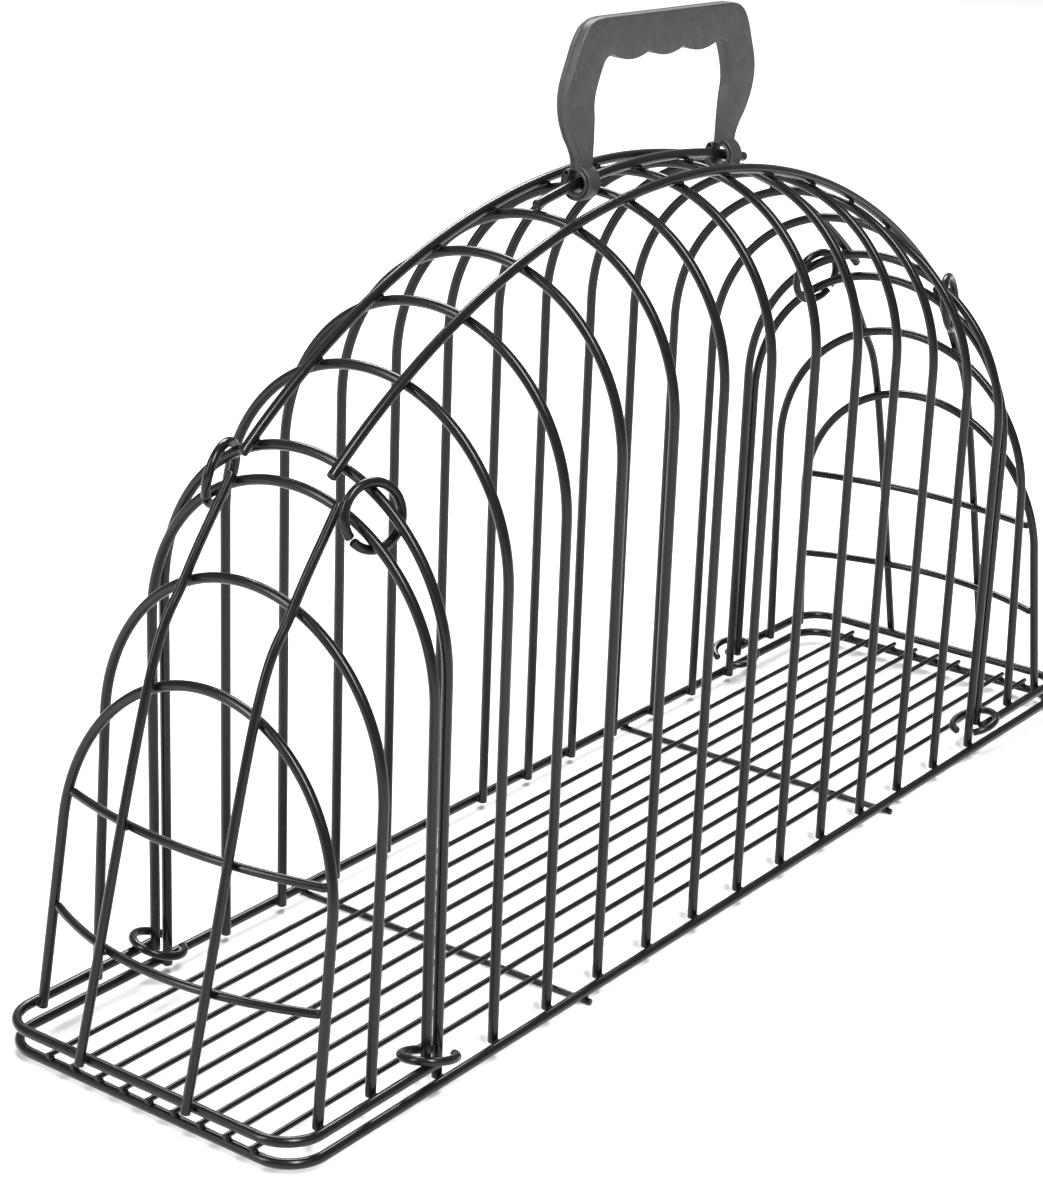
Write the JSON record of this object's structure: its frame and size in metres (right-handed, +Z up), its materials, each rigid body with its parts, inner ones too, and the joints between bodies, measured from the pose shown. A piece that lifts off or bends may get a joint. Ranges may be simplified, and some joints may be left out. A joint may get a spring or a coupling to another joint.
{
  "type": "live catch cage with carry handle",
  "caption": "Arched coated-wire carry cage with a wire floor, a hinged sloping wire door at each end held by rings, and a swinging moulded handle on top.",
  "frame": {"origin": "on the ground under the middle of the cage", "axes": "+Z up, +X along the cage towards the rear door, -X to the front door, +Y to the left side seen from the front door looking along +X"},
  "size_m": [0.616, 0.166, 0.3809],
  "materials": {
    "base_rod_coating": "semi-gloss black coating over steel wire",
    "floor_wire_01_coating": "semi-gloss black coating over steel wire",
    "floor_wire_02_coating": "semi-gloss black coating over steel wire",
    "floor_wire_03_coating": "semi-gloss black coating over steel wire",
    "floor_wire_04_coating": "semi-gloss black coating over steel wire",
    "floor_wire_05_coating": "semi-gloss black coating over steel wire",
    "floor_wire_06_coating": "semi-gloss black coating over steel wire",
    "floor_wire_07_coating": "semi-gloss black coating over steel wire",
    "floor_wire_08_coating": "semi-gloss black coating over steel wire",
    "floor_wire_09_coating": "semi-gloss black coating over steel wire",
    "cross_wire_front_coating": "semi-gloss black coating over steel wire",
    "cross_wire_rear_coating": "semi-gloss black coating over steel wire",
    "hoop_01_coating": "semi-gloss black coating over steel wire",
    "hoop_02_coating": "semi-gloss black coating over steel wire",
    "hoop_03_coating": "semi-gloss black coating over steel wire",
    "hoop_04_coating": "semi-gloss black coating over steel wire",
    "hoop_05_coating": "semi-gloss black coating over steel wire",
    "hoop_06_coating": "semi-gloss black coating over steel wire",
    "hoop_07_coating": "semi-gloss black coating over steel wire",
    "hoop_08_coating": "semi-gloss black coating over steel wire",
    "hoop_09_coating": "semi-gloss black coating over steel wire",
    "hoop_10_coating": "semi-gloss black coating over steel wire",
    "hoop_11_coating": "semi-gloss black coating over steel wire",
    "hoop_12_coating": "semi-gloss black coating over steel wire",
    "hoop_13_coating": "semi-gloss black coating over steel wire",
    "ridge_wire_right_coating": "semi-gloss black coating over steel wire",
    "ridge_wire_left_coating": "semi-gloss black coating over steel wire",
    "handle_rod_coating": "semi-gloss black coating over steel wire",
    "front_door_hinge_ring_right_coating": "semi-gloss black coating over steel wire",
    "front_door_hinge_ring_left_coating": "semi-gloss black coating over steel wire",
    "rear_door_hinge_ring_right_coating": "semi-gloss black coating over steel wire",
    "rear_door_hinge_ring_left_coating": "semi-gloss black coating over steel wire",
    "handle_plastic": "matte, lightly grained black plastic moulding",
    "front_door_base_rod_coating": "semi-gloss black coating over steel wire",
    "front_door_outer_hoop_coating": "semi-gloss black coating over steel wire",
    "front_door_middle_hoop_coating": "semi-gloss black coating over steel wire",
    "front_door_small_hoop_coating": "semi-gloss black coating over steel wire",
    "front_door_bar_right_coating": "semi-gloss black coating over steel wire",
    "front_door_bar_left_coating": "semi-gloss black coating over steel wire",
    "front_door_crossbar_lower_coating": "semi-gloss black coating over steel wire",
    "front_door_crossbar_upper_coating": "semi-gloss black coating over steel wire",
    "rear_door_base_rod_coating": "semi-gloss black coating over steel wire",
    "rear_door_outer_hoop_coating": "semi-gloss black coating over steel wire",
    "rear_door_middle_hoop_coating": "semi-gloss black coating over steel wire",
    "rear_door_small_hoop_coating": "semi-gloss black coating over steel wire",
    "rear_door_bar_right_coating": "semi-gloss black coating over steel wire",
    "rear_door_bar_left_coating": "semi-gloss black coating over steel wire",
    "rear_door_crossbar_lower_coating": "semi-gloss black coating over steel wire",
    "rear_door_crossbar_upper_coating": "semi-gloss black coating over steel wire",
    "front_door_lock_ring_right_coating": "semi-gloss black coating over steel wire",
    "front_door_lock_ring_left_coating": "semi-gloss black coating over steel wire",
    "rear_door_lock_ring_right_coating": "semi-gloss black coating over steel wire",
    "rear_door_lock_ring_left_coating": "semi-gloss black coating over steel wire"
  },
  "bodies": {
    "cage": {"base_rod": "base_rod_coating", "floor_wire_01": "floor_wire_01_coating", "floor_wire_02": "floor_wire_02_coating", "floor_wire_03": "floor_wire_03_coating", "floor_wire_04": "floor_wire_04_coating", "floor_wire_05": "floor_wire_05_coating", "floor_wire_06": "floor_wire_06_coating", "floor_wire_07": "floor_wire_07_coating", "floor_wire_08": "floor_wire_08_coating", "floor_wire_09": "floor_wire_09_coating", "cross_wire_front": "cross_wire_front_coating", "cross_wire_rear": "cross_wire_rear_coating", "hoop_01": "hoop_01_coating", "hoop_02": "hoop_02_coating", "hoop_03": "hoop_03_coating", "hoop_04": "hoop_04_coating", "hoop_05": "hoop_05_coating", "hoop_06": "hoop_06_coating", "hoop_07": "hoop_07_coating", "hoop_08": "hoop_08_coating", "hoop_09": "hoop_09_coating", "hoop_10": "hoop_10_coating", "hoop_11": "hoop_11_coating", "hoop_12": "hoop_12_coating", "hoop_13": "hoop_13_coating", "ridge_wire_right": "ridge_wire_right_coating", "ridge_wire_left": "ridge_wire_left_coating", "handle_rod": "handle_rod_coating", "front_door_hinge_ring_right": "front_door_hinge_ring_right_coating", "front_door_hinge_ring_left": "front_door_hinge_ring_left_coating", "rear_door_hinge_ring_right": "rear_door_hinge_ring_right_coating", "rear_door_hinge_ring_left": "rear_door_hinge_ring_left_coating"},
    "handle": {"carry_handle": "handle_plastic"},
    "front_door": {"front_door_base_rod": "front_door_base_rod_coating", "front_door_outer_hoop": "front_door_outer_hoop_coating", "front_door_middle_hoop": "front_door_middle_hoop_coating", "front_door_small_hoop": "front_door_small_hoop_coating", "front_door_bar_right": "front_door_bar_right_coating", "front_door_bar_left": "front_door_bar_left_coating", "front_door_crossbar_lower": "front_door_crossbar_lower_coating", "front_door_crossbar_upper": "front_door_crossbar_upper_coating"},
    "rear_door": {"rear_door_base_rod": "rear_door_base_rod_coating", "rear_door_outer_hoop": "rear_door_outer_hoop_coating", "rear_door_middle_hoop": "rear_door_middle_hoop_coating", "rear_door_small_hoop": "rear_door_small_hoop_coating", "rear_door_bar_right": "rear_door_bar_right_coating", "rear_door_bar_left": "rear_door_bar_left_coating", "rear_door_crossbar_lower": "rear_door_crossbar_lower_coating", "rear_door_crossbar_upper": "rear_door_crossbar_upper_coating"},
    "front_lock_right": {"front_door_lock_ring_right": "front_door_lock_ring_right_coating"},
    "front_lock_left": {"front_door_lock_ring_left": "front_door_lock_ring_left_coating"},
    "rear_lock_right": {"rear_door_lock_ring_right": "rear_door_lock_ring_right_coating"},
    "rear_lock_left": {"rear_door_lock_ring_left": "rear_door_lock_ring_left_coating"}
  },
  "joints": [
    {"name": "handle_swing", "type": "hinge", "parent": "cage", "child": "handle", "pos_m": [0.01124, 0, 0.3136], "axis": [0.9995, 0, -0.0322], "range_deg": [-83, 83]},
    {"name": "front_door_swing", "type": "hinge", "parent": "cage", "child": "front_door", "pos_m": [-0.2194, 0, 0.21871], "axis": [0, 1, 0], "range_deg": [0, 85]},
    {"name": "rear_door_swing", "type": "hinge", "parent": "cage", "child": "rear_door", "pos_m": [0.2194, 0, 0.21871], "axis": [0, -1, 0], "range_deg": [0, 85]},
    {"name": "front_lock_right_slide", "type": "slide", "parent": "front_door", "child": "front_lock_right", "axis": [0, 0, 1], "range_m": [0, 0.171]},
    {"name": "front_lock_left_slide", "type": "slide", "parent": "front_door", "child": "front_lock_left", "axis": [0, 0, 1], "range_m": [0, 0.171]},
    {"name": "rear_lock_right_slide", "type": "slide", "parent": "rear_door", "child": "rear_lock_right", "axis": [0, 0, 1], "range_m": [0, 0.171]},
    {"name": "rear_lock_left_slide", "type": "slide", "parent": "rear_door", "child": "rear_lock_left", "axis": [0, 0, 1], "range_m": [0, 0.171]}
  ]
}
